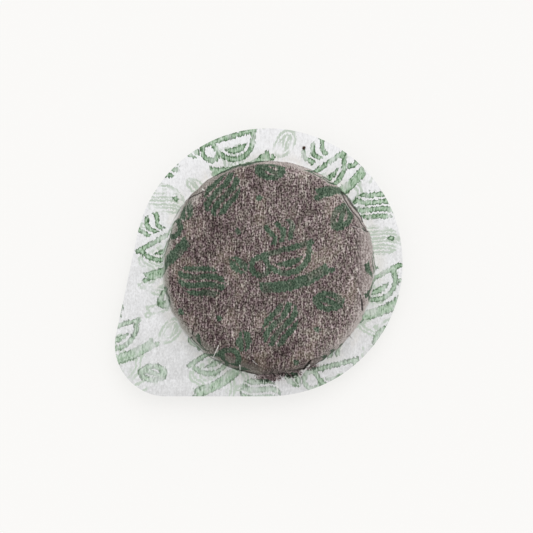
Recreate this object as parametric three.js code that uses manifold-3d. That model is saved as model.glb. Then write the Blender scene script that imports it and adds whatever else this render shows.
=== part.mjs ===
// Paper espresso pod: a pressed tablet of ground coffee, heat-sealed between two sheets of filter paper.
// Millimetres, +Z up. The origin is on the body's axis at the flat underside, and the tab points along -Y.
import * as THREE from 'three';
import { mergeVertices } from 'three/addons/utils/BufferGeometryUtils.js';
import Module from 'manifold-3d';

const wasm = await Module();
wasm.setup();

// Body: the paper-wrapped tablet
const bodyDiameter = 43.8; // the wall, carried on to the seal plane
const upperHeight = 5.6; // seal plane to the top of the crowned face
const lowerDepth = 4.6; // seal plane to the flat underside
const wallDraft = 14; // degrees that the wall leans in towards each face
const shoulderRadius = 1.6; // rounded edge between a face and the wall
const faceCrown = 0.5; // rise of the upper face from its edge to its middle

// Rim: the two sheets sealed face to face, and the die that cuts them
const paperThickness = 0.12;
const flangeWidth = 5.6;
const rootRadius = 0.7; // fillet where the wall turns out into the flange
const tabLength = 10; // how far the tab stands out past the round rim
const tabCornerRadius = 10.5;
const cutOffsetX = -0.9; // the die's centre, a little off the body's axis
const cutOffsetY = 0.65;

// Gathers: the spare paper of the drawn wall, in shallow uneven folds
const gatherDepth = 0.12;
const coarseGathers = 23; // folds round the wall, in two sets that don't line up
const fineGathers = 37;
const coarseShare = 0.6;

// Pressed spot: a short stretch of the round edge that was pushed in, as a chord across it
const pressDepth = 0.6; // at the middle of the spot, on the upper wall
const pressFootDepth = 0.25; // the same at the foot of the wall
const pressAngle = 85; // degrees from +X round the body's axis
const pressSpan = 32; // degrees from end to end

// Coffee: the tablet inside the papers
const packGap = 0.3; // between the tablet and the paper of the wall and upper face
const coffeeEdgeRadius = 2;

// Fineness of the curves
const roundSteps = 120;
const crownSteps = 3;
const shoulderSteps = 4;
const rootSteps = 3;
const cutterMargin = 1; // how far the blank and the die reach past what they cut

const bodyRadius = bodyDiameter / 2;
const rimRadius = bodyRadius + flangeWidth;
const draft = THREE.MathUtils.degToRad(wallDraft);
const rightAngle = Math.PI / 2;
const fullTurn = 2 * Math.PI;

// Points of a round stretch of the section, from one angle to the other, about a centre.
function arc(centre, radius, from, to, steps) {
  return Array.from({ length: steps + 1 }, (_, k) => {
    const angle = from + ((to - from) * k) / steps;
    return new THREE.Vector2(centre.x + radius * Math.cos(angle), centre.y + radius * Math.sin(angle));
  });
}

// Points of a face from the axis up to the edge radius, falling by the crown on the way.
function crownedFace(edge, height, crown) {
  const steps = crown === 0 ? 1 : crownSteps;
  return Array.from({ length: steps }, (_, k) => {
    const share = k / steps;
    return new THREE.Vector2(edge * share, height - crown * share * share);
  });
}

// Where the centre of a face's rounded edge lies, so that the round meets the leaning wall.
function edgeCentre(wallRadius, wallFoot, height, radius) {
  const z = height - radius;
  return new THREE.Vector2(wallRadius - Math.tan(draft) * (z - wallFoot) - radius / Math.cos(draft), z);
}

// How far round a face's edge a point lies, from 0 at the face to 1 at the wall.
function shoulderShare(_, k) {
  return k / shoulderSteps;
}

// How deep the pressed spot is at a point of a face's edge.
function shoulderPress(_, k) {
  return pressDepth * shoulderShare(_, k);
}

// One skin of a sheet's section above the seal plane, from the axis out to the uncut blank.
// The inset is the skin's depth below the outer one. Each point has its share of the gathers and its press.
function sheetSkin(height, crown, blankRadius, inset) {
  const shoulder = edgeCentre(bodyRadius, paperThickness, height - crown, shoulderRadius);
  const rootOut = (rootRadius * (1 - Math.sin(draft))) / Math.cos(draft);
  const root = new THREE.Vector2(bodyRadius + rootOut, paperThickness + rootRadius);
  const face = crownedFace(shoulder.x, height - inset, crown);
  const round = arc(shoulder, shoulderRadius - inset, rightAngle, draft, shoulderSteps);
  const foot = arc(root, rootRadius + inset, Math.PI + draft, Math.PI + rightAngle, rootSteps);
  const edge = new THREE.Vector2(blankRadius, paperThickness - inset);
  return {
    points: [...face, ...round, ...foot, edge],
    gathers: [...face.map(() => 0), ...round.map(shoulderShare), ...foot.map((_, k) => 1 - k / rootSteps), 0],
    presses: [...face.map(() => 0), ...round.map(shoulderPress), ...foot.map(() => pressFootDepth), 0],
  };
}

// Depth of the gathers round the wall, as a share of the full depth.
function gatherWave(angle, phase) {
  const coarse = Math.sin(coarseGathers * angle + phase);
  const fine = Math.sin(fineGathers * angle);
  return coarseShare * coarse + (1 - coarseShare) * fine;
}

// Depth of the pressed spot round the wall, as a share of the full depth.
function pressedChord(angle) {
  const half = THREE.MathUtils.degToRad(pressSpan / 2);
  const fromMiddle = Math.cos(angle - THREE.MathUtils.degToRad(pressAngle));
  return Math.max(0, (fromMiddle - Math.cos(half)) / (1 - Math.cos(half)));
}

// A turned solid with its axis along +Z, from a section that starts and ends on the axis.
// Each point of each turn moves out by what the shift says for its place in the section and its angle.
function turned(section, shift) {
  const geometry = new THREE.LatheGeometry(section, roundSteps).rotateX(rightAngle);
  const place = geometry.getAttribute('position');
  for (let i = 0; i < place.count; i++) {
    const x = place.getX(i);
    const y = place.getY(i);
    const radius = Math.hypot(x, y);
    if (radius === 0) continue;
    const stretch = 1 + shift(i % section.length, Math.atan2(y, x)) / radius;
    place.setXY(i, x * stretch, y * stretch);
  }
  return geometry;
}

// The formed sheet before it is cut, above the seal plane, with its wall drawn into gathers.
function formedSheet(height, crown, blankRadius, phase) {
  const outer = sheetSkin(height, crown, blankRadius, 0);
  const inner = sheetSkin(height, crown, blankRadius, paperThickness);
  const throughWall = (key) => [...inner[key], ...outer[key].toReversed()];
  const gathers = throughWall('gathers');
  const presses = throughWall('presses');
  return turned(
    throughWall('points'),
    (k, angle) =>
      gatherDepth * gathers[k] * gatherWave(angle, phase) - presses[k] * pressedChord(angle),
  );
}

// The die: the rim's circle and the tab's round tip, joined by the two straight lines that touch both.
function dieOutline() {
  const tabDistance = rimRadius + tabLength - tabCornerRadius;
  const spread = Math.acos((rimRadius - tabCornerRadius) / tabDistance);
  const rim = new THREE.Vector2(cutOffsetX, cutOffsetY);
  const tab = new THREE.Vector2(cutOffsetX, cutOffsetY - tabDistance);
  const stepsFor = (sweep) => Math.ceil((roundSteps * sweep) / fullTurn);
  const rimSweep = fullTurn - 2 * spread;
  return new THREE.Shape([
    ...arc(rim, rimRadius, spread - rightAngle, spread - rightAngle + rimSweep, stepsFor(rimSweep)),
    ...arc(tab, tabCornerRadius, -spread - rightAngle, spread - rightAngle, stepsFor(2 * spread)),
  ]);
}

// A closed three.js geometry as a solid that can be cut.
function solidOf(geometry) {
  const bare = geometry.clone();
  bare.deleteAttribute('normal');
  bare.deleteAttribute('uv');
  const merged = mergeVertices(bare);
  return new wasm.Manifold(
    new wasm.Mesh({
      numProp: 3,
      vertProperties: merged.getAttribute('position').array,
      triVerts: new Uint32Array(merged.index.array),
    }),
  );
}

function geometryOf(solid) {
  const { vertProperties, triVerts } = solid.getMesh();
  const geometry = new THREE.BufferGeometry();
  geometry.setAttribute('position', new THREE.BufferAttribute(vertProperties, 3));
  geometry.setIndex(new THREE.BufferAttribute(triVerts, 1));
  geometry.computeVertexNormals();
  return geometry;
}

// A sheet formed over one face of the tablet and cut to the die's outline.
function cutSheet(height, crown, phase) {
  const cutReach = rimRadius + tabLength + Math.hypot(cutOffsetX, cutOffsetY) + cutterMargin;
  const blankRadius = cutReach / Math.cos(Math.PI / roundSteps);
  const dieHeight = height + 2 * cutterMargin;
  const die = new THREE.ExtrudeGeometry(dieOutline(), { depth: dieHeight, bevelEnabled: false });
  die.translate(0, 0, -cutterMargin);
  const sheet = solidOf(formedSheet(height, crown, blankRadius, phase));
  return geometryOf(sheet.intersect(solidOf(die)));
}

// Half of the tablet's section, from the axis out to the seal plane, with each point's press.
function tabletSkin(height, crown) {
  const wallRadius = bodyRadius - paperThickness / Math.cos(draft) - packGap;
  const edge = edgeCentre(wallRadius, 0, height - crown, coffeeEdgeRadius);
  const face = crownedFace(edge.x, height, crown);
  const round = arc(edge, coffeeEdgeRadius, rightAngle, draft, shoulderSteps);
  return {
    points: [...face, ...round, new THREE.Vector2(wallRadius, 0)],
    presses: [...face.map(() => 0), ...round.map(shoulderPress), pressFootDepth],
  };
}

// The tablet lies on the lower sheet, and its upper face stops short of the upper sheet.
function tablet() {
  const upper = tabletSkin(upperHeight - paperThickness - packGap, faceCrown);
  const lower = tabletSkin(lowerDepth - paperThickness, 0);
  const lowerPoints = lower.points.slice(0, -1).map((p) => new THREE.Vector2(p.x, -p.y));
  const presses = [...lower.presses.slice(0, -1), ...upper.presses.toReversed()];
  return turned(
    [...lowerPoints, ...upper.points.toReversed()],
    (k, angle) => -presses[k] * pressedChord(angle),
  );
}

const filterPaper = new THREE.MeshStandardMaterial({ color: 0xe6e6e4, roughness: 0.9, metalness: 0 });
const groundCoffee = new THREE.MeshStandardMaterial({ color: 0x4a362e, roughness: 0.95, metalness: 0 });

const topFilter = new THREE.Mesh(cutSheet(upperHeight, faceCrown, 0), filterPaper);
topFilter.name = 'top_filter';

const coffeePuck = new THREE.Mesh(tablet(), groundCoffee);
coffeePuck.name = 'coffee_puck';

// The lower sheet is formed like the upper one, with a flat face and turned over.
const bottomFilter = new THREE.Mesh(cutSheet(lowerDepth, 0, rightAngle), filterPaper.clone());
bottomFilter.name = 'bottom_filter';
bottomFilter.scale.z = -1;

// The seal plane lies the lower depth above the underside.
const pod = new THREE.Group();
pod.add(topFilter, coffeePuck, bottomFilter);
pod.children.forEach((piece) => {
  piece.position.z = lowerDepth;
});

export default pod;
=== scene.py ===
import math

import bpy
import numpy as np
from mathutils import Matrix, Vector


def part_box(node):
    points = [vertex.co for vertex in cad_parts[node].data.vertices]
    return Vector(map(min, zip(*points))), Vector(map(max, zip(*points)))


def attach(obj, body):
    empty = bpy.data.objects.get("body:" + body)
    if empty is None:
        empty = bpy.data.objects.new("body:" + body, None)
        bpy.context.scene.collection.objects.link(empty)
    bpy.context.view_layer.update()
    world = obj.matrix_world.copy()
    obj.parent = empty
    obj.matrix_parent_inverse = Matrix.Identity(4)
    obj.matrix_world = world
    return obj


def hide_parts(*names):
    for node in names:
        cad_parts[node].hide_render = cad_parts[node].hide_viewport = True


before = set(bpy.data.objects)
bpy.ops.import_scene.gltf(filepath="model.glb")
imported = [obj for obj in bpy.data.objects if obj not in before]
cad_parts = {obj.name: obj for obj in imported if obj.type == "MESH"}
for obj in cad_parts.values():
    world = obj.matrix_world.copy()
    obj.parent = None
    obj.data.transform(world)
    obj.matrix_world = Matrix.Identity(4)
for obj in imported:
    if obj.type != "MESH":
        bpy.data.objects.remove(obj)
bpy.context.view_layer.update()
scene = bpy.context.scene
scene.view_settings.view_transform = "Standard"

mm = 0.001
grainTurn = math.radians(51)  # the fibres of both papers run this far round from +Y
fullTurn = 2 * math.pi


# Small helpers for meshes

def pick(piece=None):  # this piece alone, or nothing
    if bpy.context.object and bpy.context.object.mode != "OBJECT":
        bpy.ops.object.mode_set(mode="OBJECT")
    bpy.ops.object.select_all(action="DESELECT")
    if piece is not None:
        bpy.context.view_layer.objects.active = piece
        piece.select_set(True)


def spinSection(name, radii, levels, turns):  # a section in mm, turned once round the axis
    mesh = bpy.data.meshes.new(name)
    points = [(r * mm, 0, z * mm) for r, z in zip(radii, levels)]
    mesh.from_pydata(points, [(k, k + 1) for k in range(len(points) - 1)], [])
    piece = bpy.data.objects.new(name, mesh)
    scene.collection.objects.link(piece)
    pick(piece)
    bpy.ops.object.mode_set(mode="EDIT")
    bpy.ops.mesh.select_all(action="SELECT")
    bpy.ops.mesh.spin(steps=turns, angle=fullTurn, center=(0, 0, 0), axis=(0, 0, 1))
    bpy.ops.mesh.select_all(action="SELECT")
    bpy.ops.mesh.remove_doubles(threshold=2e-6)  # the seam and the poles
    bpy.ops.mesh.normals_make_consistent(inside=False)
    bpy.ops.object.mode_set(mode="OBJECT")
    return piece


def readPoints(mesh):  # in mm
    flat = np.zeros(len(mesh.vertices) * 3)
    mesh.vertices.foreach_get("co", flat)
    return flat.reshape(-1, 3) / mm


def writePoints(mesh, points):
    mesh.vertices.foreach_set("co", (points * mm).ravel())
    mesh.update()


def addAttribute(mesh, name, kind, values):
    layer = mesh.attributes.new(name, kind, "POINT")
    field = "vector" if kind == "FLOAT_VECTOR" else "value"
    layer.data.foreach_set(field, np.asarray(values, dtype=np.float32).ravel())


def applyModifier(piece, kind, settings):
    pick(piece)
    modifier = piece.modifiers.new(kind.lower(), kind)
    for key, value in settings.items():
        setattr(modifier, key, value)
    bpy.ops.object.modifier_apply(modifier=modifier.name)


def smoothShade(piece, degrees):
    pick(piece)
    bpy.ops.object.shade_smooth_by_angle(angle=math.radians(degrees))


def fade(value, low, high):  # 0 below low, 1 above high, smooth between
    share = np.clip((value - low) / (high - low), 0, 1)
    return share * share * (3 - 2 * share)


def alongGrain(x, y):  # across and along the fibres
    c, s = math.cos(grainTurn), math.sin(grainTurn)
    return x * c + y * s, y * c - x * s


def lumps(u, v, seed, shortest, longest, count=12):  # soft uneven ground, about -1 to 1
    draw = np.random.default_rng(seed)
    total = np.zeros_like(u)
    for _ in range(count):
        heading, phase = draw.uniform(0, fullTurn, 2)
        pitch = fullTurn / draw.uniform(shortest, longest)
        total += np.sin(pitch * (u * math.cos(heading) + v * math.sin(heading)) + phase)
    return total / math.sqrt(2 * count)


def awayFromLine(u, v, corners):  # distance to a line of straight stretches
    away = np.full_like(u, np.inf)
    for (u0, v0), (u1, v1) in zip(corners, corners[1:]):
        du, dv = u1 - u0, v1 - v0
        share = np.clip(((u - u0) * du + (v - v0) * dv) / (du * du + dv * dv), 0, 1)
        away = np.minimum(away, np.hypot(u - u0 - share * du, v - v0 - share * dv))
    return away


# Shader maths as plain expressions

class Link:
    def __init__(self, tree, socket=None):
        self.tree = tree
        self.socket = socket

    def make(self, kind, settings=None, sockets=None, out=0):
        node = self.tree.nodes.new(kind)
        for key, value in (settings or {}).items():
            if key == "stops":
                self.setStops(node.color_ramp.elements, value)
            else:
                setattr(node, key, value)
        for key, value in (sockets or {}).items():
            if isinstance(value, Link):
                self.tree.links.new(value.socket, node.inputs[key])
            else:
                node.inputs[key].default_value = value
        return Link(self.tree, node.outputs[out])

    def setStops(self, elements, stops):
        while len(elements) < len(stops):
            elements.new(0.5)
        for element, (position, shade) in zip(elements, stops):
            element.position = position
            element.color = shade

    def math(self, operation, *others):
        values = dict(enumerate((self, *others)))
        return self.make("ShaderNodeMath", {"operation": operation}, values)

    def __add__(self, other):
        return self.math("ADD", other)

    __radd__ = __add__

    def __mul__(self, other):
        return self.math("MULTIPLY", other)

    __rmul__ = __mul__

    def __sub__(self, other):
        return self.math("SUBTRACT", other)

    def __rsub__(self, other):
        return self.make("ShaderNodeMath", {"operation": "SUBTRACT"}, {0: other, 1: self})

    def __truediv__(self, other):
        return self.math("DIVIDE", other)

    def __pow__(self, other):
        return self.math("POWER", other)

    def __abs__(self):
        return self.math("ABSOLUTE")

    def most(self, other):
        return self.math("MAXIMUM", other)

    def least(self, other):
        return self.math("MINIMUM", other)

    def fade(self, low, high):  # 0 at low, 1 at high, smooth between
        settings = {"interpolation_type": "SMOOTHSTEP", "clamp": True}
        values = {"Value": self, "From Min": low, "From Max": high}
        return self.make("ShaderNodeMapRange", settings, values)

    def tint(self, below, above):  # one colour where this is 0, the other where it is 1
        return self.make("ShaderNodeMix", {"data_type": "RGBA"}, {0: self, 6: below, 7: above}, 2)

    def ramp(self, stops):
        return self.make("ShaderNodeValToRGB", {"stops": stops}, {0: self})

    def axes(self):
        return [self.make("ShaderNodeSeparateXYZ", {}, {0: self}, k) for k in range(3)]

    def vector(self, operation, *others, out="Vector"):
        values = dict(enumerate((self, *others)))
        return self.make("ShaderNodeVectorMath", {"operation": operation}, values, out)

    def away(self, start, end):  # distance to a short straight line
        run = (end[0] - start[0], end[1] - start[1], 0)
        square = run[0] ** 2 + run[1] ** 2
        gone = self.vector("SUBTRACT", (*start, 0))
        share = gone.vector("DOT_PRODUCT", (run[0] / square, run[1] / square, 0), out="Value")
        foot = self.make("ShaderNodeVectorMath", {"operation": "SCALE"},
                         {0: run, "Scale": share.most(0).least(1)})
        return gone.vector("DISTANCE", foot, out="Value")

    def strewn(self, across, along, seed):  # a place in mm as grain sizes, with each seed elsewhere
        return self.vector("MULTIPLY_ADD", (1 / across, 1 / along, 1), (17.3 * seed, 9.1 * seed, 0))

    def grain(self, across, along, seed, detail, rough, twist):  # noise on a place in mm
        values = {"Vector": self.strewn(across, along, seed), "Scale": 1, "Detail": detail,
                  "Roughness": rough, "Distortion": twist}
        return self.make("ShaderNodeTexNoise", {"noise_dimensions": "2D"}, values)

    def specks(self, across, along, seed, core, rim):  # 1 at scattered points, 0 between them
        values = {"Vector": self.strewn(across, along, seed), "Scale": 1, "Randomness": 1}
        near = self.make("ShaderNodeTexVoronoi", {"voronoi_dimensions": "2D"}, values, "Distance")
        return 1 - near.fade(core, rim)


def colour(red, green, blue):  # screen colour, 0 to 255
    parts = [c / 255 for c in (red, green, blue)]
    return tuple(c / 12.92 if c <= 0.04045 else ((c + 0.055) / 1.055) ** 2.4 for c in parts) + (1,)


def newMaterial(name):
    material = bpy.data.materials.new(name)
    material.use_nodes = True
    return material, material.node_tree.nodes["Principled BSDF"], Link(material.node_tree)


def plug(link, shader, socket):
    link.tree.links.new(link.socket, shader.inputs[socket])


# Camera and light

camera = {
    "lens": 100,
    "sensor": 36,
    "frameWidth": 109.37,  # mm across the picture, at the flange
    "flangeLevel": 4.7,
    "lookAt": (-0.49, -0.21),
    "clip": 10,
}
camera["distance"] = camera["frameWidth"] * camera["lens"] / camera["sensor"]

light = {
    "room": 0.79,
    "roomColour": colour(254, 254, 255),
    "sunShare": 0.23,  # of the light on a level surface
    "sunHeading": 128,  # degrees from +X
    "sunZenith": 36,
    "sunSize": 45,
    "sunLevel": 400,
    "backdrop": colour(250, 249, 247),
}


def placeCamera():
    x, y = camera["lookAt"]
    place = (x * mm, y * mm, (camera["flangeLevel"] + camera["distance"]) * mm)
    bpy.ops.object.camera_add(location=place, rotation=(0, 0, grainTurn))
    made = bpy.context.object
    made.name = "photoCamera"
    made.data.lens = camera["lens"]
    made.data.sensor_width = camera["sensor"]
    made.data.clip_start = camera["clip"] * mm
    scene.camera = made


def seenRays(bench):  # 1 for what the camera sees, also in gloss and through glass
    names = ("Is Camera Ray", "Is Glossy Ray", "Is Transmission Ray")
    direct, glossy, through = (bench.make("ShaderNodeLightPath", {}, {}, name) for name in names)
    return direct.most(glossy).most(through)


def placeLight():
    zenith = math.radians(light["sunZenith"])
    heading = math.radians(light["sunHeading"] + 90)
    place = (0, 0, light["sunLevel"] * mm)
    bpy.ops.object.light_add(type="SUN", location=place, rotation=(zenith, 0, heading))
    sun = bpy.context.object
    sun.name = "softSun"
    sun.data.energy = light["sunShare"] * math.pi / math.cos(zenith)
    sun.data.angle = math.radians(light["sunSize"])
    world = bpy.data.worlds.new("paleRoom")
    scene.world = world
    world.use_nodes = True
    seen = seenRays(Link(world.node_tree))
    background = world.node_tree.nodes["Background"]
    plug(seen.tint(light["roomColour"], light["backdrop"]), background, "Color")
    plug(seen * (1 - light["room"]) + light["room"], background, "Strength")


placeCamera()
placeLight()
print("camera and light placed")


# Floor

ground = {
    "size": 4000,
    "drop": 0.02,  # below the pod, so that the two don't flicker
    "even": 0.75,  # how far its own shading is evened out in the picture
}


def makeFloor():
    bpy.ops.mesh.primitive_plane_add(size=ground["size"] * mm, location=(0, 0, -ground["drop"] * mm))
    floor = bpy.context.object
    floor.name = "paleFloor"
    material, shader, bench = newMaterial("paleFloor")
    shader.inputs["Base Color"].default_value = light["backdrop"]
    shader.inputs["Roughness"].default_value = 1
    shader.inputs["Specular IOR Level"].default_value = 0
    even = bench.make("ShaderNodeEmission", {}, {"Color": light["backdrop"], "Strength": 1})
    mixed = {0: seenRays(bench) * ground["even"], 1: Link(bench.tree, shader.outputs[0]), 2: even}
    blended = bench.make("ShaderNodeMixShader", {}, mixed)
    plug(blended, material.node_tree.nodes["Material Output"], "Surface")
    floor.data.materials.append(material)


makeFloor()
print("floor laid")


# The two filter papers

topLow, topHigh = (np.array(corner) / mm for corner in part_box("top_filter"))
bottomLow, _ = (np.array(corner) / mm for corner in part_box("bottom_filter"))
sealLevel = topLow[2]
upperHeight = topHigh[2] - sealLevel
lowerDepth = sealLevel - bottomLow[2]

paper = {
    "thickness": 0.12,
    "bodyRadius": 21.9,  # the wall, carried on to the seal
    "lean": math.radians(14),
    "shoulder": 1.6,
    "root": 0.7,
    "crown": 0.5,
    "tabCorner": 10.5,
    "turns": 540,
    "rings": {"face": 16, "shoulder": 12, "wall": 18, "root": 8, "flange": 26},
    "ringEase": 1.15,  # the flange's rings lie closer at the wall
    "blankFlange": 6,  # width of the flange before it is drawn out to the die's cut
    "dieSteps": 240,
    "cutSteps": 2880,
    "flatSteps": 1440,
    "creaseAngle": 50,
    "gatherDepth": 0.12,
    "coarseGathers": 23,
    "fineGathers": 37,
    "coarseShare": 0.6,
    "pressDepth": 0.6,  # on the upper wall
    "pressFoot": 0.25,  # at the wall's foot
    "pressAngle": math.radians(85),
    "pressSpan": math.radians(32),
    "pleatDepth": 0.07,
    "pleatCounts": (61, 74, 89, 103, 127),
    "pleatRise": 1.2,  # how far above the root they start
    "pleatReach": 0.9,  # how far out on the flange they die away
    "lumpDepth": {1: 0.06, -1: 0.015},  # of the upper and the lower face
    "lumpSize": (3.5, 9),
    "lumpEdge": (16, 19),
    "dentShare": 0.7,  # of a fold's depth
    "dentWidth": 0.22,  # at least
    "waveDepth": 0.13,
    "waveEdge": (0.2, 3.5),  # out from the root
    "waves": [(0.31, 0.12, 0.6, 1), (-0.17, 0.38, 2.1, 0.7), (0.55, -0.42, 4.0, 0.45)],
}
rootShare = (1 - math.sin(paper["lean"])) / math.cos(paper["lean"])
paper["rootOut"] = paper["bodyRadius"] + paper["root"] * rootShare

# Folds of the upper paper, by corners in mm across and along the fibres, carried down to the flange's level
# Each has its half width, the depth of its dent, the strength of the painted shadow along its crease and the
# strength of the painted highlight along its ridge
foldLines = [
    ([(14.8, 15.5), (15.4, 15.35), (16.4, 14.2)], 0.15, -0.10, 0.78, 0),  # the pressed edge
    ([(16.4, 14.2), (17.1, 12.95), (18.05, 11.8)], 0.22, -0.10, 0.78, 0),
    ([(18.05, 11.8), (19.3, 9.5)], 0.15, -0.10, 0.78, 0),
    ([(15.7, 14.35), (16.4, 13.25), (17.45, 11.85), (18.5, 10.45), (19.2, 9.6)], 0.07, 0.06, 0, 0.3),
    ([(14.9, 15.45), (15.85, 13.7), (16.65, 12.25), (17.6, 11.0)], 0.10, -0.14, 0.78, 0),
    ([(17.6, 11.0), (18.8, 9.5), (20.25, 7.45)], 0.11, -0.14, 0.78, 0),
    ([(14.5, 15.15), (15.1, 14.2), (15.55, 13.55), (16.4, 12.25), (17.0, 11.3)], 0.07, 0.06, 0, 0.4),
    ([(19.8, 7.75), (20.2, 7.45)], 0.18, -0.05, 0.8, 0),
    ([(17.3, 8.75), (18.9, 8.2), (20.1, 7.55)], 0.09, -0.10, 0.5, 0),
    ([(17.2, 8.45), (18.8, 7.95), (19.9, 7.35)], 0.07, 0.06, 0, 0.3),
    ([(17.9, 5.2), (18.3, 3.8)], 0.12, -0.12, 0.7, 0),
    ([(18.3, -4.2), (18.75, -5.5)], 0.09, 0.06, 0, 0.45),  # the right side
    ([(18.75, -5.6), (19.05, -6.6)], 0.13, -0.16, 0.8, 0),
    ([(19.05, -6.6), (19.3, -8.7)], 0.2, -0.22, 0.9, 0),
    ([(16.1, -14.2), (16.5, -13.8), (16.9, -14.4)], 0.10, -0.06, 0.5, 0),
    ([(9.7, -18.6), (8.55, -19.1)], 0.09, -0.10, 0.6, 0),  # the foot of the wall, lower right to left
    ([(8.55, -19.1), (7.1, -20.85)], 0.17, -0.25, 1, 0),
    ([(8.35, -19.85), (7.5, -20.85)], 0.12, 0.05, 0, 0.7),
    ([(7.1, -20.7), (5.4, -20.9), (3.9, -21.05)], 0.09, -0.14, 0.7, 0),
    ([(3.35, -21.1), (3.6, -21.5), (4.0, -21.85)], 0.10, -0.10, 0.75, 0),
    ([(3.9, -21.9), (4.5, -22.25), (5.2, -22.1)], 0.13, -0.10, 0.85, 0),
    ([(3.2, -21.5), (2.85, -21.7), (2.6, -22.1)], 0.12, -0.08, 0.8, 0),
    ([(1.95, -21.55), (2.2, -21.85)], 0.13, -0.08, 0.8, 0),
    ([(0.75, -21.7), (1.35, -22.2)], 0.15, -0.08, 0.9, 0),
    ([(0.85, -21.15), (0.2, -21.6)], 0.12, -0.08, 0.75, 0),
    ([(-0.95, -21.8), (-0.3, -22.4)], 0.12, -0.08, 0.8, 0),
    ([(-6.18, -19.2), (-6.1, -21.4)], 0.08, -0.10, 0.6, 0),
    ([(-5.93, -19.9), (-5.87, -21.7), (-5.95, -24.0)], 0.06, 0.08, 0, 0.9),
    ([(-3.35, -19.0), (-2.4, -19.9)], 0.06, 0.04, 0, 0.35),
    ([(1.7, -23.7), (1.8, -25.7)], 0.10, 0.05, 0, 0.6),
    ([(-10.3, -15.9), (-10.7, -16.8), (-11.3, -18.2), (-12.0, -19.6)], 0.06, 0.08, 0, 0.9),
    ([(-11.0, -16.5), (-11.2, -17.1)], 0.12, -0.08, 0.8, 0),
    ([(-15.3, -11.6), (-15.75, -13.65)], 0.13, -0.10, 0.85, 0),
    ([(-15.8, -14.2), (-16.0, -14.4)], 0.16, -0.05, 0.8, 0),
    ([(-21.05, -4.85), (-20.0, -7.8), (-19.1, -9.65)], 0.08, -0.08, 0.35, 0),
    ([(-16.4, 14.2), (-13.5, 15.7)], 0.13, -0.12, 0.85, 0),  # the upper left
    ([(-16.4, 14.2), (-16.5, 13.2)], 0.09, -0.08, 0.55, 0),
    ([(-13.6, 15.6), (-13.2, 14.4), (-13.6, 13.6)], 0.11, -0.08, 0.7, 0),
    ([(-13.7, 16.2), (-13.3, 15.9)], 0.11, 0.06, 0, 0.8),
    ([(-12.4, -21.4), (-12.4, -26.1)], 0.18, 0, 0.13, 0),
    ([(-30.9, -14.3), (-29.2, -15.9)], 0.18, -0.04, 0.14, 0),  # faint folds of the tab
    ([(-29.0, -12.6), (-27.8, -14.5)], 0.18, -0.04, 0.14, 0),
]

# What changes round the wall, by degrees round from across the fibres
aroundWall = {
    "show": {  # share of the coffee that shows through
        0: 0.25, 15: 0.30, 25: 0.55, 45: 0.60, 60: 0.60, 75: 0.58, 90: 0.60, 105: 0.68, 115: 0.60, 125: 0.42,
        135: 0.36, 150: 0.22, 160: 0.155, 180: 0.21, 200: 0.30, 220: 0.28, 240: 0.28, 250: 0.32, 262: 0.50,
        268: 0.80, 296: 0.80, 304: 0.55, 315: 0.50, 325: 0.36, 335: 0.28, 345: 0.25, 360: 0.25,
    },
    "shoulderPaintedShading": {  # painted light and shade: how much paler than usual the wall is painted at its shoulder, darker where negative
        0: -0.2, 25: 0.05, 60: 0, 80: 0.15, 100: -0.1, 120: 0.15, 140: 0.25, 200: 0, 230: 0, 260: -0.3,
        280: 0.1, 340: 0.05, 360: -0.2,
    },
    "footPaintedShading": {  # and at its foot
        0: 0.1, 40: -0.25, 60: 0.1, 100: -0.05, 140: 0.05, 160: 0.6, 220: 0.5, 240: 0.1, 265: -0.1, 280: 0,
        300: 0.1, 340: 0.3, 360: 0.1,
    },
    "fadeStart": {  # mm over the paper from the middle, where the coffee starts to fade
        0: 15.9, 15: 17.2, 30: 19.0, 60: 19.8, 120: 20.2, 140: 18.8, 160: 19.0, 175: 19.3, 200: 19.8,
        212: 19.6, 224: 19.0, 240: 18.8, 262: 19.0, 300: 19.0, 325: 18.4, 340: 17.6, 360: 15.9,
    },
    "fadeEnd": {
        0: 20.8, 15: 21.0, 30: 21.4, 60: 22.0, 105: 22.3, 120: 21.5, 140: 20.8, 160: 20.8, 175: 21.2,
        200: 21.6, 212: 21.2, 224: 20.4, 240: 20.2, 262: 20.6, 300: 21.0, 325: 21.6, 340: 21.2, 360: 20.8,
    },
    "footShift": {  # mm past the usual line that the coffee reaches at the foot
        0: -0.05, 45: -0.05, 75: 0.28, 120: 0.28, 150: 0.1, 180: 0.05, 210: -0.2, 240: 0.05, 260: 0.5,
        285: 0.5, 300: 0.3, 315: -0.2, 345: -0.25, 360: -0.05,
    },
    "footShadowLine": {  # darkness of a painted shadow line at the wall's foot
        0: 0, 20: 0.1, 35: 0, 44: 0.1, 47: 0.4, 70: 0.35, 76: 0.15, 95: 0.4, 120: 0.4, 128: 0.1, 143: 0.1,
        146: 0.6, 151: 0.6, 154: 0.1, 160: 0.05, 215: 0.1, 226: 0.45, 234: 0.8, 262: 0.9, 271: 0.35,
        281: 0.35, 286: 0.8, 290: 1, 300: 0.4, 312: 0, 360: 0,
    },
}

# How the coffee ends at the wall, in mm over the paper
coffeeEdge = {
    "shoulderRun": (17.6, 19.4),
    "footRun": (19.9, 22.2),
    "paintedLightRun": (21.3, 23.6),  # painted light: paler towards the foot, where the steep wall gets less light
    "paintedLightShare": 0.8,
    "endIn": 1.0,  # before the root
    "endWander": (0.1, 0.7, 2.5),  # depth, and the shortest and longest wave
    "endSoft": 0.2,
    "lineIn": 0.72,
    "lineWander": (0.06, 0.5, 1.6),
    "lineWidth": 0.2,
}

# Grains that the seal has caught: the middle and the half size of each heap
caught = {
    "heaps": [((0.0, -22.3), (3.2, 1.5)), ((4.4, -21.7), (2.6, 1.1)), ((8.6, -20.3), (1.9, 0.9))],
    "depth": 0.12,
    "spread": 1.2,  # of the raised paper against the heap
    "slope": 0.5,
    "level": 0.6,
    "knobs": (31, 0.9, 1.8),  # seed, and the shortest and longest wave
}


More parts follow.
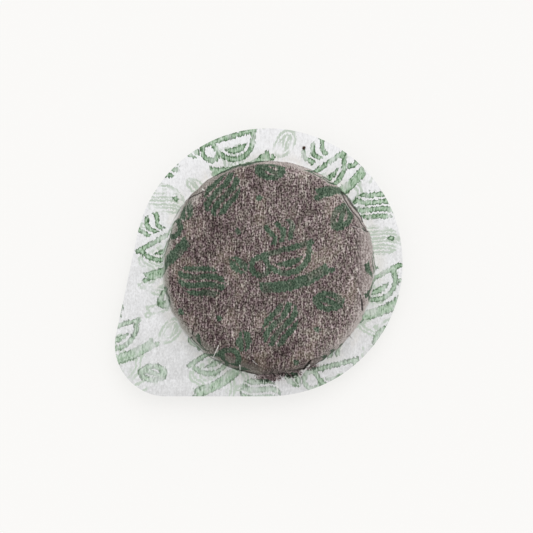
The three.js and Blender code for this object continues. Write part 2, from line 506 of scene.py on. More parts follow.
def arcPoints(centre, radius, start, end, steps):
    turn = np.linspace(start, end, steps + 1)
    return centre[0] + radius * np.cos(turn), centre[1] + radius * np.sin(turn)


def edgeCentre(wallOut, rise, radius):  # how far out the centre of a face's rounded edge lies
    return wallOut - math.tan(paper["lean"]) * rise - radius / math.cos(paper["lean"])


def paperSection(height, crown):  # rings of the outer skin above the seal, from the axis to the cut edge
    rings, lean, thick, rootOut = (paper[key] for key in ("rings", "lean", "thickness", "rootOut"))
    shoulderLevel = height - crown - paper["shoulder"]
    shoulderOut = edgeCentre(paper["bodyRadius"], shoulderLevel - thick, paper["shoulder"])
    faceShare = np.linspace(0, 1, rings["face"])
    roundR, roundZ = arcPoints((shoulderOut, shoulderLevel), paper["shoulder"], math.pi / 2, lean,
                               rings["shoulder"])
    footR, footZ = arcPoints((rootOut, thick + paper["root"]), paper["root"], math.pi + lean,
                             1.5 * math.pi, rings["root"])
    wallShare = np.linspace(0, 1, rings["wall"] + 1)[1:-1]
    flangeShare = np.linspace(0, 1, rings["flange"] + 1)[1:] ** paper["ringEase"]
    radius = np.concatenate([
        shoulderOut * faceShare, roundR[1:], roundR[-1] + (footR[0] - roundR[-1]) * wallShare,
        footR, rootOut + paper["blankFlange"] * flangeShare])
    level = np.concatenate([
        height - crown * faceShare ** 2, roundZ[1:], roundZ[-1] + (footZ[0] - roundZ[-1]) * wallShare,
        footZ, np.full(len(flangeShare), thick)])
    steps = np.hypot(np.diff(radius), np.diff(level))
    slope = np.gradient(level) / np.gradient(radius)
    tilt = np.hypot(1, slope)
    zeros, ones = np.zeros_like, np.ones_like
    toWall = np.linspace(0, 1, rings["shoulder"] + 1)[1:]
    toRoot = np.linspace(1, 0, rings["root"] + 1)
    deep, shallow = paper["pressDepth"], paper["pressFoot"]
    return {
        "radius": radius,
        "level": level,
        "run": np.concatenate([[0], np.cumsum(steps)]),  # distance over the paper from the middle
        "normalOut": -slope / tilt,
        "normalUp": 1 / tilt,
        "gather": np.concatenate([zeros(faceShare), toWall, ones(wallShare), toRoot, zeros(flangeShare)]),
        "press": np.concatenate([zeros(faceShare), deep * toWall, deep + (shallow - deep) * wallShare,
                                 shallow * ones(toRoot), shallow * (1 - flangeShare)]),
        "flange": np.concatenate([zeros(faceShare), zeros(toWall), zeros(wallShare), zeros(toRoot),
                                  flangeShare]),
    }


def cutReach(angle):  # how far the die's cut lies from the axis
    rim = (topHigh[0] - topLow[0]) / 2
    centre = np.array([(topHigh[0] + topLow[0]) / 2, topHigh[1] - rim])
    tip = np.array([centre[0], topLow[1] + paper["tabCorner"]])
    reach = np.zeros_like(angle)
    for share in np.linspace(0, 1, paper["dieSteps"] + 1):
        middle = centre + share * (tip - centre)
        radius = rim + share * (paper["tabCorner"] - rim)
        ahead = np.cos(angle) * middle[0] + np.sin(angle) * middle[1]
        inside = radius ** 2 - middle @ middle + ahead ** 2
        reach = np.maximum(reach, np.where(inside > 0, ahead + np.sqrt(np.maximum(inside, 0)), 0))
    return reach


def carriedDown(x, y, level):  # across and along the fibres, where a point shows at the flange's level
    middleX, middleY = camera["lookAt"]
    grow = camera["distance"] / (camera["distance"] - level + camera["flangeLevel"])
    return alongGrain(middleX + (x - middleX) * grow, middleY + (y - middleY) * grow)


def pressedChord(angle):
    edge = math.cos(paper["pressSpan"] / 2)
    return np.maximum(0, (np.cos(angle - paper["pressAngle"]) - edge) / (1 - edge))


def gatherWave(angle, phase):
    coarse = np.sin(paper["coarseGathers"] * angle + phase)
    return paper["coarseShare"] * coarse + (1 - paper["coarseShare"]) * np.sin(paper["fineGathers"] * angle)


def pleats(angle, seed):  # fine uneven folds, in groups
    draw = np.random.default_rng(seed)
    total = np.zeros_like(angle)
    for count in paper["pleatCounts"]:
        total += np.sin(count * angle + draw.uniform(0, fullTurn))
    group = 0.5 + 0.5 * np.sin(5 * angle + draw.uniform(0, fullTurn)) * np.sin(3 * angle + 1)
    return 2 * total / len(paper["pleatCounts"]) * group


def flangeWave(u, v):  # the sealed rim lies in slow waves
    slow = sum(share * np.sin(pitchU * u + pitchV * v + phase)
               for pitchU, pitchV, phase, share in paper["waves"])
    return paper["waveDepth"] * slow


def skinPlan(mesh, rings, side):  # where each point lies: in the section, in plan and over the flat paper
    points = readPoints(mesh)
    radius = np.hypot(points[:, 0], points[:, 1])
    angle = np.arctan2(points[:, 1], points[:, 0])
    skin = {key: np.interp(radius, rings["radius"], values) for key, values in rings.items()}
    rootOut = paper["rootOut"]
    rootRun = np.interp(rootOut, rings["radius"], rings["run"])
    pressed = pressedChord(angle)
    turns = np.linspace(-math.pi, math.pi, paper["cutSteps"] + 1)
    reach = np.interp(angle, turns, cutReach(turns))
    footOut = rootOut - paper["pressFoot"] * pressed
    onFlange = skin["flange"] > 0
    drawnOut = footOut + skin["flange"] * (reach - footOut)  # the flange reaches to the die's cut
    planOut = np.where(onFlange, drawnOut, radius - skin["press"] * pressed)
    outX, outY = np.cos(angle), np.sin(angle)
    u, v = carriedDown(planOut * outX, planOut * outY, sealLevel + side * skin["level"])
    skin.update(
        radius=radius, angle=angle, outX=outX, outY=outY, planOut=planOut, onFlange=onFlange, u=u, v=v,
        turn=np.degrees(np.arctan2(v, u)) % 360, rootRun=rootRun,
        run=np.where(onFlange, rootRun + planOut - rootOut, skin["run"]),
        pastRoot=np.where(onFlange, planOut - footOut, 0))
    return skin


def skinRelief(skin, side, phase, seed, lines):  # mm along the skin's normal
    u, v, angle, rootRun = (skin[key] for key in ("u", "v", "angle", "rootRun"))
    onWall = skin["gather"] + fade(skin["run"], rootRun - paper["pleatRise"], rootRun)
    pastWall = np.exp(-skin["pastRoot"] / paper["pleatReach"])
    nearRoot = np.clip(np.where(skin["onFlange"], pastWall, onWall), 0, 1)
    onFace = 1 - fade(skin["radius"], *paper["lumpEdge"])
    relief = paper["gatherDepth"] * skin["gather"] * gatherWave(angle, phase)
    relief += paper["pleatDepth"] * nearRoot * pleats(angle, seed)
    relief += paper["lumpDepth"][side] * onFace * lumps(u, v, seed + 5, *paper["lumpSize"])
    for corners, halfWidth, depth, _, _ in lines:
        away = awayFromLine(u, v, corners) / max(halfWidth, paper["dentWidth"])
        relief += paper["dentShare"] * depth * skin["normalUp"] * np.exp(-away ** 2)
    if side > 0:
        knobs = caught["level"] + lumps(u, v, *caught["knobs"])
        for (middleU, middleV), (halfU, halfV) in caught["heaps"]:
            heap = caught["spread"] - np.hypot((u - middleU) / halfU, (v - middleV) / halfV)
            relief += caught["depth"] * fade(heap, 0, caught["slope"]) * knobs
    return relief


def coffeeThrough(skin, seed):  # all of it over the face, part on the wall, none on the flange
    edge = coffeeEdge
    run, rootRun = skin["run"], skin["rootRun"]
    at = {key: np.interp(skin["turn"], list(table), list(table.values()))
          for key, table in aroundWall.items()}

    def wander(depth, shortest, longest, more):
        return depth * lumps(skin["u"], skin["v"], seed + more, shortest, longest)

    endRun = rootRun - edge["endIn"] + at["footShift"] + wander(*edge["endWander"], 9)
    show = 1 + (at["show"] - 1) * fade(run, at["fadeStart"], at["fadeEnd"])
    # painted light: less coffee shows towards the steep foot, making up for the shade it gets
    show *= 1 - edge["paintedLightShare"] * (1 - at["show"]) * fade(run, *edge["paintedLightRun"])
    show *= 1 - fade(run, endRun - edge["endSoft"], endRun + edge["endSoft"])
    lineRun = rootRun - edge["lineIn"] + wander(*edge["lineWander"], 13)
    # painted shadow: a dark line along the wall's foot, where it meets the flange
    dark = at["footShadowLine"] * np.exp(-((run - lineRun) / edge["lineWidth"]) ** 2)
    toFoot = fade(run, *edge["footRun"])
    # painted light and shade on the wall, blended from its shoulder to its foot
    pale = at["shoulderPaintedShading"] + (at["footPaintedShading"] - at["shoulderPaintedShading"]) * toFoot
    return show, dark, pale * fade(run, *edge["shoulderRun"])


def makePaper(name, height, crown, side, phase, seed, lines):
    rings = paperSection(height, crown)
    piece = spinSection(name, rings["radius"], sealLevel + side * rings["level"], paper["turns"])
    mesh = piece.data
    if sum(face.normal.z for face in mesh.polygons) * side < 0:  # an open skin can come out inside out
        bpy.ops.object.mode_set(mode="EDIT")
        bpy.ops.mesh.flip_normals()
        bpy.ops.object.mode_set(mode="OBJECT")
    skin = skinPlan(mesh, rings, side)
    u, v, run, outX, outY = (skin[key] for key in ("u", "v", "run", "outX", "outY"))
    relief = skinRelief(skin, side, phase, seed, lines)
    show, dark, pale = coffeeThrough(skin, seed)

    bodyOut = skin["planOut"] + skin["normalOut"] * relief
    level = skin["level"] + skin["normalUp"] * relief
    if side < 0:
        level = np.minimum(level, height)  # it lies on the floor
    lift = fade(skin["pastRoot"], *paper["waveEdge"]) * flangeWave(u, v)  # the same for both papers
    writePoints(mesh, np.column_stack([outX * bodyOut, outY * bodyOut, sealLevel + side * level + lift]))

    placeU, placeV = alongGrain(run * outX, run * outY)
    addAttribute(mesh, "sheetPlace", "FLOAT_VECTOR", np.column_stack([placeU, placeV, 0 * placeU]))
    addAttribute(mesh, "foldPlace", "FLOAT_VECTOR", np.column_stack([u, v, 0 * u]))
    for key, values in (("show", show), ("dark", dark), ("pale", pale)):
        addAttribute(mesh, key, "FLOAT", values)

    skinFaces, skinPoints = len(mesh.polygons), len(mesh.vertices)
    applyModifier(piece, "SOLIDIFY", {"thickness": paper["thickness"] * mm, "offset": -1})
    layFlat(mesh, np.column_stack([outX, outY]), run, skinFaces, skinPoints)
    smoothShade(piece, paper["creaseAngle"])
    return piece, skin["rootRun"]


# Places in the bake's map, as shares of its side
bakeMap = {
    "low": 0.015,
    "size": 0.96,  # of the outer skin
    "innerShare": 0.27,  # of the inner skin, against the outer one
    "innerRight": 0.985,
    "innerLow": 0.012,
    "edgeWidth": 0.25,  # mm
}


def layFlat(mesh, outward, run, skinFaces, skinPoints):  # outer skin large, inner skin in a corner
    corner = np.zeros(len(mesh.loops), dtype=np.int32)
    mesh.loops.foreach_get("vertex_index", corner)
    sizes = np.zeros(len(mesh.polygons), dtype=np.int32)
    mesh.polygons.foreach_get("loop_total", sizes)
    face = np.repeat(np.arange(len(sizes)), sizes)
    flat = outward * run[:, None]
    low, high = flat.min(axis=0), flat.max(axis=0)
    scale = bakeMap["size"] / (high - low).max()
    skin = corner % skinPoints
    place = bakeMap["low"] + (flat[skin] - low) * scale
    inner = (face >= skinFaces) & (face < 2 * skinFaces)
    small = bakeMap["innerShare"] * scale
    shift = np.array([bakeMap["innerRight"] - small * (high - low)[0], bakeMap["innerLow"]])
    place[inner] = shift + (flat[skin[inner]] - low) * small
    edge = (face >= 2 * skinFaces) & (corner >= skinPoints)
    place[edge] += outward[skin[edge]] * bakeMap["edgeWidth"] * scale
    layer = mesh.uv_layers.new(name="OFBake")
    layer.data.foreach_set("uv", place.astype(np.float32).ravel())


# Print: cups, beans and dots, each column half a step down from the last and turned over
motifs = {
    "cell": (21.0, 29.0),  # mm
    "tilt": math.radians(-24),
    "line": 0.58,  # half width
    "cupAt": (-2.2, 5.2),
    "cupTurn": 8,
    "cupHalf": (5.3, 5.4),
    "brewLevel": 2.2,  # below the cup's rim
    "handle": {"at": (5.9, -1.9), "size": 1.8, "from": 0.82},  # from that share of the cup's half width
    "saucer": {"drop": 7.2, "half": 7.2, "line": 1.15, "curve": 0.025},
    "steam": {"apart": 2.1, "tall": 2.1, "lift": 1.6, "pitch": 1.3, "swing": 0.5},
    "groove": {"pitch": 2.6, "swing": 0.2, "half": 0.1},  # shares of a bean's half size
    "stripePitch": 1.7,
    "stripeGap": 0.45,
    "beans": [  # middle, turn, half size and look
        ((5.0, -8.2), -38, (4.9, 3.3), "striped"),
        ((-5.8, -7.9), 30, (3.2, 2.1), "line"),
        ((7.9, 6.2), 60, (2.2, 1.5), "full"),
    ],
    "dots": [(5.2, 12.4, 0.65), (-8.9, -2.4, 0.65), (-1.4, -12.2, 0.65)],
}


def printDepth(place, shift, flip):  # how far inside the ink a place lies, in mm
    turn = {"Vector": place, "Location": (*shift, 0), "Rotation": (0, 0, motifs["tilt"] * flip),
            "Scale": (flip, 1, 1)}
    x, y, _ = place.make("ShaderNodeMapping", {"vector_type": "POINT"}, turn).axes()
    width, height = motifs["cell"]
    column = (x / width).math("FLOOR")
    odd = column.math("FLOORED_MODULO", 2)
    across = (x - column * width - width / 2) * (1 - 2 * odd)
    dropped = y + odd * (height / 2)
    along = dropped - (dropped / height).math("FLOOR") * height - height / 2
    line = motifs["line"]

    def local(centre, degrees):
        c, s = math.cos(math.radians(degrees)), math.sin(math.radians(degrees))
        dx, dy = across - centre[0], along - centre[1]
        return dx * c + dy * s, dy * c - dx * s

    def inEllipse(p, q, half):
        return (1 - ((p / half[0]) ** 2 + (q / half[1]) ** 2) ** 0.5) * min(half)

    def bean(centre, degrees, half, look):
        p, q = local(centre, degrees)
        inside = inEllipse(p, q, half)
        wave = motifs["groove"]
        fromGroove = q - (p * (wave["pitch"] / half[0])).math("SINE") * (wave["swing"] * half[1])
        if look == "line":
            groove = (line - abs(fromGroove)).least(inside - line)
            return (line - abs(inside - line)).most(groove)
        if look == "striped":
            fromGap = fromGroove.math("PINGPONG", motifs["stripePitch"] / 2)
            return inside.least(fromGap - motifs["stripeGap"] / 2)
        return inside.least(abs(fromGroove) - wave["half"] * half[1])

    def cup():
        p, q = local(motifs["cupAt"], motifs["cupTurn"])
        halfWidth = motifs["cupHalf"][0]
        inside = inEllipse(p, q, motifs["cupHalf"])
        bowl = (line - abs(inside - line)).least(0 - q)
        brew = (inside - 3 * line).least(0 - q - motifs["brewLevel"])
        rim = (line - abs(q)).least(halfWidth + line - abs(p))
        ring = motifs["handle"]
        loop = ((p - ring["at"][0]) ** 2 + (q - ring["at"][1]) ** 2) ** 0.5
        handle = (line - abs(loop - ring["size"])).least(p - ring["from"] * halfWidth)
        plate = motifs["saucer"]
        fromPlate = abs(q + plate["drop"] - p * p * plate["curve"])
        saucer = (plate["line"] - fromPlate).least(plate["half"] - abs(p))
        depth = bowl.most(brew).most(rim).most(handle).most(saucer)
        steam = motifs["steam"]
        for k in (-1, 0, 1):
            wave = abs(p - steam["apart"] * k - (q * steam["pitch"] + k).math("SINE") * steam["swing"])
            depth = depth.most((line - wave).least(steam["tall"] - abs(q - steam["lift"] - steam["tall"])))
        return depth

    depth = cup()
    for numbers in motifs["beans"]:
        depth = depth.most(bean(*numbers))
    for dotX, dotY, size in motifs["dots"]:
        p, q = local((dotX, dotY), 0)
        depth = depth.most(size - (p * p + q * q) ** 0.5)
    return depth


paperFinish = {
    "coffeeOlive": [(0.0, colour(37, 29, 28)), (0.3, colour(76, 66, 62)), (0.5, colour(108, 99, 93)),
                    (0.7, colour(144, 135, 128)), (1.0, colour(210, 202, 193))],
    "coffeeRosy": [(0.0, colour(40, 27, 30)), (0.3, colour(80, 64, 66)), (0.5, colour(112, 97, 97)),
                   (0.7, colour(148, 133, 132)), (1.0, colour(214, 200, 198))],
    "warm": colour(134, 120, 94),
    "hazePink": [(0.2, colour(132, 121, 117)), (0.5, colour(166, 155, 151)), (0.8, colour(202, 192, 188))],
    "hazeOlive": [(0.2, colour(98, 93, 86)), (0.5, colour(132, 127, 119)), (0.8, colour(168, 164, 157))],
    "sheet": colour(247, 247, 248),
    # the darkest sheet, reached by its mottling and by the painted shade lower down
    "sheetLow": colour(203, 203, 202),
    "stain": colour(226, 222, 212),
    "inkPale": colour(186, 206, 184),
    "inkFull": colour(142, 171, 139),
    "inkRim": colour(66, 99, 62),
    "inkSpot": colour(48, 78, 46),
    "inkOverCoffee": [(0.0, colour(38, 54, 41)), (0.5, colour(67, 86, 69)), (1.0, colour(112, 130, 111))],
    "behind": colour(188, 200, 185),
    # painted shadow for the creases and the wall's foot line, then painted highlight for the fold ridges
    "paintedShadowColour": colour(24, 21, 18),
    "paintedHighlightColour": colour(240, 238, 233),
    "gloss": 0.2,
    "bump": {"Strength": 0.5, "Distance": 0.05 * mm},
}

# Noises of the paper: size across and along the fibres in mm, seed, detail, roughness and twist
paperGrain = {
    "flecks": (0.26, 0.32, 1, 1.0, 0.5, 0.3),
    "strands": (0.25, 2.1, 8, 1.0, 0.5, 0.8),
    "hairs": (0.7, 1.9, 2, 1.5, 0.5, 0.8),
    "clouds": (5, 7, 3, 3, 0.6, 0),
    "hues": (0.8, 1.2, 12, 1.0, 0.5, 0.3),
    "fibres": (0.5, 2.4, 4, 2, 0.6, 1.2),
    "wisps": (3.0, 4.5, 5, 3, 0.6, 0.8),
    "mottle": (0.42, 0.6, 14, 2, 0.6, 0.4),
    "broken": (0.38, 1.2, 6, 2, 0.6, 0.4),
    "patchy": (2.6, 4.0, 9, 2, 0.5, 0),
}
hairThin = 16

# How much each noise counts, with a level and a slope per mm of painted light and shade
coffeeMix = {
    "noises": {"flecks": 0.8, "strands": 1, "clouds": 0.5},
    "hairs": 0.18,
    "specks": (0.46, 0.56, 15, 0.12, 0.5),  # size across and along, seed, core and rim
    "speckDark": 0.4,
    "paintedLightSlopeU": 0.0035,
    "level": 0.542,
    "farPaintedLight": 0.10,
    "nearPaintedShade": 0.14,
}
sheetMix = {
    "noises": {"fibres": 0.45, "wisps": 0.4, "mottle": 0.75},
    "paintedLightSlopeV": 0.0065,
    "level": 0.55,
    "stain": 0.5,
    "stainRun": (-0.5, 2.5),  # from the root
}
raggedMix = {"flecks": 0.35, "strands": 0.2}
caughtMix = {"flecks": 1.1, "broken": 0.9}


def weigh(grain, weights):  # noises, each about its mean
    return sum((grain[key] - 0.5) * weight for key, weight in weights.items())


def foldMask(place, folds):  # corners, half width and strength of each
    mask = place.axes()[2]
    for corners, halfWidth, strength in folds:
        for start, end in zip(corners, corners[1:]):
            near = 1 - place.away(start, end).fade(0.5 * halfWidth, 1.5 * halfWidth)
            mask = mask.most(near * strength)
    return mask


def heapDepth(place):
    u, v, _ = place.axes()
    depth = None
    for (middleU, middleV), (halfU, halfV) in caught["heaps"]:
        heap = 1 - (((u - middleU) / halfU) ** 2 + ((v - middleV) / halfV) ** 2) ** 0.5
        depth = heap if depth is None else depth.most(heap)
    return depth


def coffeeTone(place, grain):  # the coffee's grains behind the fibres, about 0.5, with painted light towards the right and far side and painted shade towards the near side
    placeU, placeV, _ = place.axes()
    mix = coffeeMix
    tone = weigh(grain, mix["noises"]) + grain["hairs"] * mix["hairs"]
    tone = tone - place.specks(*mix["specks"]) * mix["speckDark"] + placeU * mix["paintedLightSlopeU"] + mix["level"]
    # painted light towards the far side, painted shade towards the near side
    litFarSide = (placeU * 0.45 + placeV * 0.9).fade(13, 21)
    shadedNearSide = (0 - placeV).fade(14, 20)
    return tone + litFarSide * mix["farPaintedLight"] - shadedNearSide * mix["nearPaintedShade"]


def coffeeColours(place, grain, tone, pale):  # seen well through the paper, and as a haze, both carrying the wall's painted light and shade
    placeU, placeV, _ = place.axes()
    stained = ((tone + pale * 0.65).ramp(paperFinish[key]) for key in ("coffeeOlive", "coffeeRosy"))
    under = grain["hues"].fade(0.4, 0.6).tint(*stained)
    under = (grain["clouds"].fade(0.5, 0.7) * 0.18).tint(under, paperFinish["warm"])
    pinkness = (placeU * 0.03 + placeV * 0.018 + 0.5 + (grain["strands"] - 0.5) * 0.6).fade(0, 1)
    hazes = ((tone + pale).ramp(paperFinish[key]) for key in ("hazeOlive", "hazePink"))
    return under, pinkness.tint(*hazes)


def bareSheet(place, grain, fromRoot):  # fibres, clouds and mottling, with painted shade growing towards -v (darker lower down) and a stain near the coffee
    mix = sheetMix
    _, placeV, _ = place.axes()
    # the slope along v is painted light and shade: lighter higher up, darker lower down
    body = weigh(grain, mix["noises"]) + placeV * mix["paintedLightSlopeV"] + mix["level"]
    sheet = body.fade(0, 1).tint(paperFinish["sheetLow"], paperFinish["sheet"])
    near = 1 - fromRoot.fade(*mix["stainRun"])
    return (near * grain["wisps"].fade(0.35, 0.65) * mix["stain"]).tint(sheet, paperFinish["stain"])


def inkColour(grain, depth, tone, covered):  # darker at the rim of a motif and in spots
    broken, patchy = grain["broken"], grain["patchy"]
    ink = broken.fade(0.36, 0.60).tint(paperFinish["inkPale"], paperFinish["inkFull"])
    rim = (1 - depth.fade(0.10, 0.42)) * (patchy.fade(0.35, 0.6) * 0.6 + 0.4)
    ink = rim.tint(ink, paperFinish["inkRim"])
    ink = broken.fade(0.60, 0.72).tint(ink, paperFinish["inkSpot"])
    return covered.tint(ink, tone.ramp(paperFinish["inkOverCoffee"]))


def inkCover(place, grain, covered):  # how well the ink covers, on the sheet and over the coffee
    broken, patchy = grain["broken"], grain["patchy"]
    _, placeV, _ = place.axes()
    load = (placeV * 0.014 + 0.62 + (grain["clouds"] - 0.5) * 0.8).fade(0, 1) * 0.44 + 0.68
    onSheet = (broken.fade(0.2, 0.42) * patchy.fade(0.25, 0.55) * 0.52 + 0.44) * load
    onCoffee = patchy.fade(0.28, 0.5) * 0.35 + 0.62
    return onSheet + (onCoffee - onSheet) * covered


def paperMaterial(name, rootRun, printShift, behindShift, flip, lines):
    material, shader, bench = newMaterial(name)
    place, foldPlace = (bench.make("ShaderNodeAttribute", {"attribute_name": key}, {}, "Vector")
                        for key in ("sheetPlace", "foldPlace"))
    show, dark, pale = (bench.make("ShaderNodeAttribute", {"attribute_name": key}, {}, "Fac")
                        for key in ("show", "dark", "pale"))
    grain = {key: place.grain(*numbers) for key, numbers in paperGrain.items()}
    grain["hairs"] = (1 - abs(grain["hairs"] - 0.5) * hairThin).most(0)
    fromRoot = place.vector("LENGTH", out="Value") - rootRun

    # coffee against sheet
    tone = coffeeTone(place, grain)
    under, haze = coffeeColours(place, grain, tone, pale)
    sheet = bareSheet(place, grain, fromRoot)
    base = (show + (grain["wisps"] - 0.5) * 0.06).fade(0.03, 0.16).tint(sheet, haze)
    base = (show + weigh(grain, raggedMix)).fade(0.3, 0.95).tint(base, under)
    covered = show.fade(0.03, 0.16)
    if lines:
        heaps = (heapDepth(foldPlace) + weigh(grain, caughtMix)).fade(0.05, 0.3) * fromRoot.fade(-1.4, -0.6)
        base = heaps.tint(base, (tone + 0.2).ramp(paperFinish["coffeeRosy"]))
        covered = covered.most(heaps)

    # the other paper's print seen through the rim, then the print on the sheet
    spread = {"Vector": place.vector("MULTIPLY", (2.2, 1.1, 1)), "Scale": 1}
    wander = place.make("ShaderNodeTexNoise", {"noise_dimensions": "2D"}, spread, "Color")
    bled = wander.vector("MULTIPLY_ADD", (0.8, 0.8, 0), place)
    uneven = grain["broken"] - 0.5
    behind = printDepth(bled, behindShift, -flip)
    behind = (0.3 - abs(behind - 0.16) + uneven * 0.5).fade(-0.05, 0.12)
    behind = behind * 0.9 * (1 - covered) * grain["patchy"].fade(0.3, 0.55)
    base = behind.tint(base, paperFinish["behind"])
    depth = printDepth(bled, printShift, flip)
    ink = (depth + uneven * 0.7).fade(-0.06, 0.10) * inkCover(place, grain, covered)
    base = ink.tint(base, inkColour(grain, depth, tone, covered))

    # folds: painted highlight along their ridges and painted shadow along their creases
    if lines:
        highlitFolds = [(corners, half, strength) for corners, half, _, _, strength in lines if strength]
        shadowedFolds = [(corners, half, strength) for corners, half, _, strength, _ in lines if strength]
        shaky = wander.vector("SUBTRACT", (0.5, 0.5, 0)).vector("MULTIPLY_ADD", (0.2, 0.2, 0), foldPlace)
        base = foldMask(shaky, highlitFolds).tint(base, paperFinish["paintedHighlightColour"])
        dark = dark.most(foldMask(shaky, shadowedFolds))
    base = dark.tint(base, paperFinish["paintedShadowColour"])
    plug(base, shader, "Base Color")

    plug(0.82 + grain["fibres"] * 0.16, shader, "Roughness")
    shader.inputs["Specular IOR Level"].default_value = paperFinish["gloss"]
    height = grain["flecks"] * 0.5 * covered + grain["fibres"] * 0.4 + grain["hairs"] * 0.15
    plug(bench.make("ShaderNodeBump", {}, {**paperFinish["bump"], "Height": height}), shader, "Normal")
    return material


topPaper, topRun = makePaper("top_paper", upperHeight, paper["crown"], 1, 0, 7, foldLines)
bottomPaper, bottomRun = makePaper("bottom_paper", lowerDepth, 0, -1, math.pi / 2, 11, [])
topPaper.data.materials.append(paperMaterial("topPaper", topRun, (28.5, 3.0), (11.0, -4.0), 1, foldLines))
bottomPaper.data.materials.append(paperMaterial("bottomPaper", bottomRun, (-6.0, 2.0), (4.0, 9.0), -1, []))
print("papers formed:", len(topPaper.data.polygons), len(bottomPaper.data.polygons), "faces")


# The coffee: the pressed tablet inside, and one grain that lies on the rim

coffee = {
    "gap": 0.3,  # to the paper of the wall and the upper face
    "edge": 2.0,
    "turns": 240,
    "faceRings": 28,
    "edgeRings": 8,
    "wallRings": 8,
    "pressRise": 3,  # above or below the seal, where the pressed spot is at its deepest
    "pressIn": (3.4, 1.2),  # in from the wall, where it starts and where it is full
    "grainDepth": 0.16,
    "grainSize": 1.1,
    "creaseAngle": 60,
}

looseGrain = {
    "at": (7.2, 24.6),  # across and along the fibres
    "size": 0.36,
    "middle": 0.62,  # above the paper, as a share of its size
    "knobs": 0.16,
    "squash": 0.8,
    "brokenSide": 0.6,  # it lies on it
    "creaseAngle": 50,
}

coffeeFinish = {
    "stops": [(0.0, colour(30, 19, 14)), (0.4, colour(66, 45, 35)), (0.75, colour(98, 71, 55)),
              (1.0, colour(150, 118, 92))],
    "cell": 0.9,
    "fine": 0.35,
    "gloss": 0.3,
    "bump": {"Strength": 0.7, "Distance": 0.15 * mm},
}


def tabletHalf(height, crown):  # from the axis to the seal
    wallOut = paper["bodyRadius"] - paper["thickness"] / math.cos(paper["lean"]) - coffee["gap"]
    edgeLevel = height - crown - coffee["edge"]
    edgeOut = edgeCentre(wallOut, edgeLevel, coffee["edge"])
    share = np.linspace(0, 1, coffee["faceRings"])
    roundR, roundZ = arcPoints((edgeOut, edgeLevel), coffee["edge"], math.pi / 2, paper["lean"],
                               coffee["edgeRings"])
    down = np.linspace(0, 1, coffee["wallRings"] + 1)[1:]
    radius = np.concatenate([edgeOut * share, roundR[1:], roundR[-1] + (wallOut - roundR[-1]) * down])
    level = np.concatenate([height - crown * share ** 2, roundZ[1:], roundZ[-1] * (1 - down)])
    return radius, level


def makeTablet():
    upperR, upperZ = tabletHalf(upperHeight - paper["thickness"] - coffee["gap"], paper["crown"])
    lowerR, lowerZ = tabletHalf(lowerDepth - paper["thickness"], 0)
    radii = np.concatenate([upperR, lowerR[-2::-1]])
    levels = np.concatenate([upperZ, -lowerZ[-2::-1]])
    piece = spinSection("coffee_tablet", radii, sealLevel + levels, coffee["turns"])
    points = readPoints(piece.data)
    angle = np.arctan2(points[:, 1], points[:, 0])
    radius = np.hypot(points[:, 0], points[:, 1])
    upShare = np.clip(abs(points[:, 2] - sealLevel) / coffee["pressRise"], 0, 1)
    pressed = paper["pressFoot"] + (paper["pressDepth"] - paper["pressFoot"]) * upShare
    pressed *= pressedChord(angle) * fade(radius, *(upperR[-1] - into for into in coffee["pressIn"]))
    points[:, 0] -= pressed * np.cos(angle)
    points[:, 1] -= pressed * np.sin(angle)
    writePoints(piece.data, points)
    grains = bpy.data.textures.new("packedGrains", "VORONOI")
    grains.noise_scale = coffee["grainSize"] * mm
    packed = {"texture": grains, "strength": coffee["grainDepth"] * mm, "mid_level": 1}
    applyModifier(piece, "DISPLACE", packed)
    smoothShade(piece, coffee["creaseAngle"])
    return piece


def makeSpeck():
    u, v = looseGrain["at"]
    c, s = math.cos(grainTurn), math.sin(grainTurn)
    size = looseGrain["size"]
    level = sealLevel + paper["thickness"] + flangeWave(u, v) + looseGrain["middle"] * size
    pick()
    bpy.ops.mesh.primitive_ico_sphere_add(subdivisions=4, radius=size * mm)
    piece = bpy.context.object
    piece.name = "coffee_speck"
    points = readPoints(piece.data)
    knobs = lumps(points[:, 0] * 3 + points[:, 2], points[:, 1] * 3 - points[:, 2] * 2, 3, 0.8, 2.2)
    points *= (1 + looseGrain["knobs"] * knobs)[:, None]
    points[:, 2] = np.maximum(points[:, 2] * looseGrain["squash"], -looseGrain["brokenSide"] * size)
    points += [u * c - v * s, u * s + v * c, level]
    writePoints(piece.data, points)
    smoothShade(piece, looseGrain["creaseAngle"])
    return piece


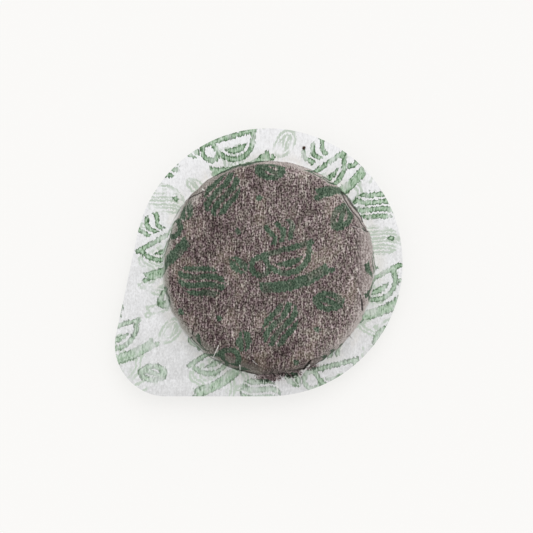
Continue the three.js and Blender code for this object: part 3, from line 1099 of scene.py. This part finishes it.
def coffeeMaterial():
    material, shader, bench = newMaterial("groundCoffee")
    spot = bench.make("ShaderNodeTexCoord", {}, {}, "Object")
    cells = {"Vector": spot, "Scale": 1 / (coffeeFinish["cell"] * mm), "Randomness": 1}
    near = bench.make("ShaderNodeTexVoronoi", {}, cells, "Distance")
    each, _, _ = bench.make("ShaderNodeTexVoronoi", {}, cells, "Color").axes()
    noise = {"Vector": spot, "Scale": 1 / (coffeeFinish["fine"] * mm), "Detail": 3}
    fine = bench.make("ShaderNodeTexNoise", {}, noise)
    # darker away from each grain's middle: painted shade in the gaps between the grains
    tone = each * 0.6 + fine * 0.5 - near * 0.35
    plug(tone.ramp(coffeeFinish["stops"]), shader, "Base Color")
    plug(0.75 + fine * 0.25, shader, "Roughness")
    shader.inputs["Specular IOR Level"].default_value = coffeeFinish["gloss"]
    bump = {**coffeeFinish["bump"], "Height": fine - near}
    plug(bench.make("ShaderNodeBump", {}, bump), shader, "Normal")
    return material


tablet = makeTablet()
speck = makeSpeck()
groundCoffee = coffeeMaterial()
for piece in (tablet, speck):
    piece.data.materials.append(groundCoffee)
print("coffee pressed:", len(tablet.data.polygons), "faces")


# The pieces: the flat sheet of each paper worked out, the CAD parts hidden and the new pieces attached to
# the root

def sheetFlat(spare):  # the die's cut, grown by the paper that the wall takes up
    angle = np.linspace(0, fullTurn, paper["flatSteps"] + 1)
    reach = cutReach(angle)
    x, y = reach * np.cos(angle), reach * np.sin(angle)
    area = 0.5 * abs(np.sum(x[:-1] * y[1:] - x[1:] * y[:-1]))
    rim = np.sum(np.hypot(np.diff(x), np.diff(y)))
    area += rim * spare + math.pi * spare ** 2
    width, length = (topHigh - topLow)[:2] + 2 * spare
    return (width * mm, length * mm), area * mm * mm


for piece, node, rootRun in ((topPaper, "top_filter", topRun), (bottomPaper, "bottom_filter", bottomRun)):
    flat, area = sheetFlat(rootRun - paper["rootOut"])
    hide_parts(node)
    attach(piece, "root")
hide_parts("coffee_puck")
for piece in (tablet, speck):
    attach(piece, "root")
